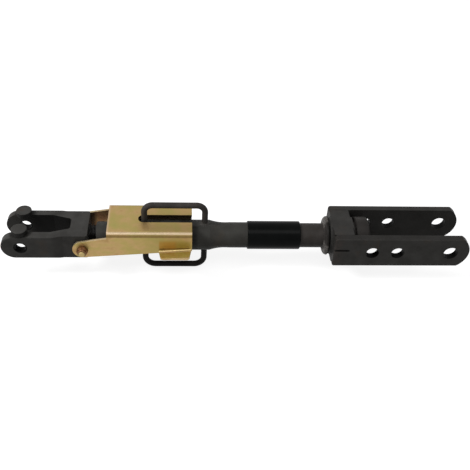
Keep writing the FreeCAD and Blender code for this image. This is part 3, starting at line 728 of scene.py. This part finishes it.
def add_spindle():
    """Screw thread over the spindle's length, chamfered at its free end."""
    low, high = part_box("threaded_spindle")
    start, end = low[0], high[0]
    rings, columns = 320, 64
    vertices = [(start, 0.0, 0.0)]
    for i in range(rings):
        along = start + (end - start) * i / (rings - 1)
        chamfer = max(0.0, SPINDLE_CHAMFER - (end - along))
        for angle in angles(columns):
            reach = screw_radius(along, angle, SPINDLE_RADIUS, SPINDLE_PITCH, SPINDLE_THREAD_DEPTH)
            vertices.append(link_point(along, min(reach, SPINDLE_RADIUS - chamfer), angle))
    faces = grid_faces(rings, columns, start=1)
    faces += [(0, 1 + (j + 1) % columns, 1 + j) for j in range(columns)]
    faces.append(tuple(1 + (rings - 1) * columns + j for j in range(columns)))
    add_mesh("spindle_thread", vertices, faces, "thread_steel", "front_fork", "threaded_spindle")


# Weld beads of the handles


def leg_bead(leg_x, side, shift):
    """The fillet bead round one handle leg, from the wire down onto the tube."""
    rings, columns, ripples, sunk = 9, 72, 13, 0.0004
    vertices = []
    for i in range(rings):
        share = i / (rings - 1)
        for angle in angles(columns):
            wave = ripple(angle, ripples, shift)
            width = 0.0031 + 0.0004 * wave
            height = 0.0027 + 0.0003 * ripple(angle, ripples, shift + 1.3)
            swell = 0.0004 * math.sin(math.pi * share) * wave
            lift = height * (1.0 - share) ** 1.35 + swell - sunk * share
            reach = WIRE_RADIUS - sunk + (width + sunk) * share
            x, y = reach * math.cos(angle), reach * math.sin(angle)
            seat = math.sqrt(TUBE_BODY_RADIUS ** 2 - y ** 2)
            vertices.append((leg_x + x, y * side, (seat + lift) * side))
    return vertices, grid_faces(rings, columns)


def add_leg_beads(name, side):
    """Both beads of a handle, on top (1) or below (-1)."""
    first = leg_bead(FIRST_LEG_X, side, 0.4 + side)
    second = leg_bead(SECOND_LEG_X, side, 2.1 + side)
    add_mesh(name + "_run", *join(first, second), "weld_bead", "link_tube", name)


# Collar and boss


def collar_outline(back_x, top):
    """(along, radius) of the collar, from the swivel's surface over its rounded back."""
    rows = [
        (COLLAR_FACE_X, SWIVEL_RADIUS),
        (COLLAR_FACE_X, top - COLLAR_EDGE),
        (COLLAR_FACE_X - COLLAR_EDGE, top),
    ]
    steps = 8
    for step in range(steps + 1):
        turn = math.pi / 2.0 * step / steps
        along = back_x + COLLAR_ROUND * (1.0 - math.sin(turn))
        rows.append((along, top - COLLAR_ROUND * (1.0 - math.cos(turn))))
    return rows


def collar_bead(back_x, rings, columns):
    """Points of the rippled weld between the collar's back and the swivel."""
    vertices = []
    for i in range(rings):
        turn = math.pi / 2.0 * i / (rings - 1)
        for angle in angles(columns):
            wave = ripple(angle, 46, 0.7) * math.sin(2.0 * turn)
            leg = COLLAR_BEAD_LEG + 0.0003 * wave
            along = back_x - leg * math.sin(turn) ** 1.2
            reach = SWIVEL_RADIUS - 0.0002 + leg * math.cos(turn) ** 1.2
            vertices.append(link_point(along, reach, angle))
    return vertices


def add_collar():
    """Ring with a round back and a rippled weld to the pin, close to the boss of the block."""
    low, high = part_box("swivel_collar")
    columns, bead_rings = 240, 7
    outline = collar_outline(low[0], high[2])
    vertices = [link_point(*row, angle) for row in outline for angle in angles(columns)]
    vertices += collar_bead(low[0], bead_rings, columns)
    faces = grid_faces(len(outline) + bead_rings, columns)
    nodes = ("swivel_collar", "collar_weld")
    add_mesh("collar_ring", vertices, faces, "pin_steel", "link_tube", *nodes)


def add_block_boss():
    """Low round boss with a weld fillet on the block's outer face, round the swivel pin."""
    low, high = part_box("fork_bridge")
    columns, base_x, top = 240, low[0], high[2]
    boss = [
        (BOSS_FACE_X, SWIVEL_RADIUS + 0.0001),
        (BOSS_FACE_X, BOSS_RADIUS - BOSS_CHAMFER),
        (BOSS_FACE_X + BOSS_CHAMFER, BOSS_RADIUS),
        (base_x - 0.0022, BOSS_RADIUS),
    ]
    fillet = [
        (base_x - 0.0013, BOSS_RADIUS + 0.0003),
        (base_x - 0.0006, BOSS_RADIUS + 0.0009),
        (base_x + 0.0001, BOSS_RADIUS + 0.0018),
    ]
    vertices = []
    for rows, waviness in ((boss, 0.0), (fillet, 0.0002)):
        for along, radius in rows:
            for angle in angles(columns):
                reach = radius + waviness * ripple(angle, 40, 1.9)
                _, y, z = link_point(along, reach, angle)
                vertices.append((along, y, max(-top, min(top, z))))
    faces = grid_faces(len(boss) + len(fillet), columns)
    add_mesh("block_boss", vertices, faces, "forged_black", "rear_fork")


# Hinge bolt and lock nut


def hexagon_reach(angle):
    """Distance from the centre to the hexagon's side, with two sides level."""
    sector = (angle % (math.pi / 3.0)) - math.pi / 6.0
    return HEX_WIDTH / 2.0 / math.cos(sector)


def lathe(centre, profile, columns, shape=None):
    """Closed solid about the bolt's line from (y, radius) rings, each capped by an outline."""
    vertices = []
    for y, radius in profile:
        for angle in angles(columns):
            reach = min(radius, shape(angle)) if shape else radius
            vertices.append(bolt_point(centre, y, reach, angle))
    faces = grid_faces(len(profile), columns)
    faces.append(tuple(range(columns))[::-1])
    faces.append(tuple((len(profile) - 1) * columns + j for j in range(columns)))
    return vertices, faces


def hinge_centre():
    low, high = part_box("hinge_bolt")
    return ((low[0] + high[0]) / 2.0, 0.0, (low[2] + high[2]) / 2.0)


def bolt_shank(centre, start, end):
    """The bolt's rod: threaded and chamfered at its start, plain towards the head."""
    columns, rings_per_pitch = 48, 8
    thread_end = start + BOLT_THREAD_LENGTH
    rings = int((thread_end - start) / BOLT_PITCH * rings_per_pitch)
    vertices = []
    for i in range(rings + 1):
        y = start + (thread_end - start) * i / rings
        chamfer = max(0.0, BOLT_CHAMFER - (y - start))
        for angle in angles(columns):
            reach = screw_radius(y, angle, BOLT_RADIUS, BOLT_PITCH, BOLT_THREAD_DEPTH)
            vertices.append(bolt_point(centre, y, min(reach, BOLT_RADIUS - chamfer), angle))
    vertices += [bolt_point(centre, end, BOLT_RADIUS, angle) for angle in angles(columns)]
    faces = grid_faces(rings + 2, columns)
    faces.append(tuple(range(columns))[::-1])
    return vertices, faces


def add_bolt():
    low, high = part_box("hinge_bolt")
    centre = hinge_centre()
    seat = high[1] - BOLT_HEAD_HEIGHT
    head = lathe(centre, [
        (seat, HEX_WIDTH / 2.0 - 0.0002),
        (seat + 0.0003, HEX_WIDTH / 2.0 - 0.0002),
        (seat + 0.0004, HEX_CORNER),
        (high[1] - 0.0011, HEX_CORNER),
        (high[1], HEX_WIDTH / 2.0 - 0.0004),
    ], 96, hexagon_reach)
    mesh = join(head, bolt_shank(centre, low[1], seat))
    add_mesh("hinge_bolt_body", *mesh, "zinc_bolt", "front_fork", "hinge_bolt", smooth=False)


def add_nut():
    """Hexagon with a turned crown that holds the locking ring."""
    low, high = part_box("hinge_nut")
    centre = hinge_centre()
    crown_y = low[1] + NUT_CROWN_HEIGHT
    hexagon = lathe(centre, [
        (high[1], HEX_WIDTH / 2.0 - 0.0003),
        (high[1] - 0.0005, HEX_CORNER),
        (crown_y + 0.0006, HEX_CORNER),
        (crown_y, HEX_WIDTH / 2.0 - 0.0002),
    ], 96, hexagon_reach)
    crown = lathe(centre, [
        (crown_y + 0.0001, 0.0058),
        (low[1] + 0.0009, 0.0058),
        (low[1] + 0.0004, 0.0055),
        (low[1] + 0.0001, 0.0051),
        (low[1], 0.0046),
        (low[1] + 0.0004, 0.0042),
    ], 64)
    mesh = join(hexagon, crown)
    add_mesh("hinge_nut_body", *mesh, "zinc_bolt", "front_fork", "hinge_nut", smooth=False)


dress_nodes()
add_spindle()
add_leg_beads("upper_handle_welds", 1)
add_leg_beads("lower_handle_welds", -1)
add_collar()
add_block_boss()
add_bolt()
add_nut()


# Floor, light and camera


def white_to_view(tree, strength):
    """A strength that only camera, mirror and glass rays see."""
    path = add_node(tree, "ShaderNodeLightPath")
    seen = calc(tree, "MAXIMUM", path.outputs["Is Camera Ray"], path.outputs["Is Glossy Ray"])
    seen = calc(tree, "MAXIMUM", seen, path.outputs["Is Transmission Ray"])
    return calc(tree, "MULTIPLY", seen, strength)


def add_floor():
    """Matt grey floor that keeps the shadow and looks white."""
    material, tree, shader = new_material("floor")
    output = next(n for n in tree.nodes if n.type == "OUTPUT_MATERIAL")
    shader.inputs["Base Color"].default_value = FLOOR_GREY
    shader.inputs["Roughness"].default_value = 1.0
    shader.inputs["Specular IOR Level"].default_value = 0.0
    glow = add_node(tree, "ShaderNodeEmission", {"Strength": white_to_view(tree, FLOOR_GLOW)})
    lit = add_node(tree, "ShaderNodeAddShader", {0: shader.outputs[0], 1: glow.outputs[0]})
    tree.links.new(lit.outputs[0], output.inputs["Surface"])
    bpy.ops.mesh.primitive_plane_add(size=FLOOR_SIZE, location=FLOOR_PLACE)
    floor = bpy.context.object
    floor.name = "floor"
    floor.data.materials.append(material)


def light_world():
    """Even grey light from all sides, which looks white."""
    world = bpy.data.worlds.new("studio")
    bpy.context.scene.world = world
    world.use_nodes = True
    tree = world.node_tree
    background = next(n for n in tree.nodes if n.type == "BACKGROUND")
    background.inputs["Color"].default_value = WHITE
    total = calc(tree, "ADD", white_to_view(tree, 1.0 - WORLD_LIGHT), WORLD_LIGHT)
    tree.links.new(total, background.inputs["Strength"])


def add_lamp(name, place, aim, size, power):
    """A soft rectangular lamp that looks at a point."""
    data = bpy.data.lights.new(name, "AREA")
    data.shape = "RECTANGLE"
    data.size, data.size_y = size
    data.energy = power
    lamp = bpy.data.objects.new(name, data)
    lamp.location = place
    lamp.rotation_euler = (Vector(aim) - Vector(place)).to_track_quat("-Z", "Y").to_euler()
    bpy.context.collection.objects.link(lamp)


def add_camera():
    data = bpy.data.cameras.new("camera")
    data.sensor_width = SENSOR_WIDTH
    data.lens = CAMERA_LENS
    camera = bpy.data.objects.new("camera", data)
    bpy.context.collection.objects.link(camera)
    ahead = Vector((
        math.sin(CAMERA_YAW) * math.cos(CAMERA_DIP),
        math.cos(CAMERA_YAW) * math.cos(CAMERA_DIP),
        -math.sin(CAMERA_DIP),
    ))
    level = Vector((math.cos(CAMERA_YAW), -math.sin(CAMERA_YAW), 0.0))
    upward = level.cross(ahead)
    right = level * math.cos(CAMERA_ROLL) + upward * math.sin(CAMERA_ROLL)
    up = upward * math.cos(CAMERA_ROLL) - level * math.sin(CAMERA_ROLL)
    turn = Matrix((right, up, -ahead)).transposed().to_4x4()
    camera.matrix_world = Matrix.Translation(CAMERA_PLACE) @ turn
    bpy.context.scene.camera = camera


add_floor()
light_world()
add_lamp("overhead", (-0.35, -0.60, 1.40), (-0.35, 0.0, 0.0), (1.5, 0.7), 8.5)
add_lamp("key", (-1.7, -0.35, 1.3), (-0.28, 0.0, 0.0), (0.45, 0.45), 26.0)
add_camera()
bpy.context.scene.view_settings.view_transform = "Standard"
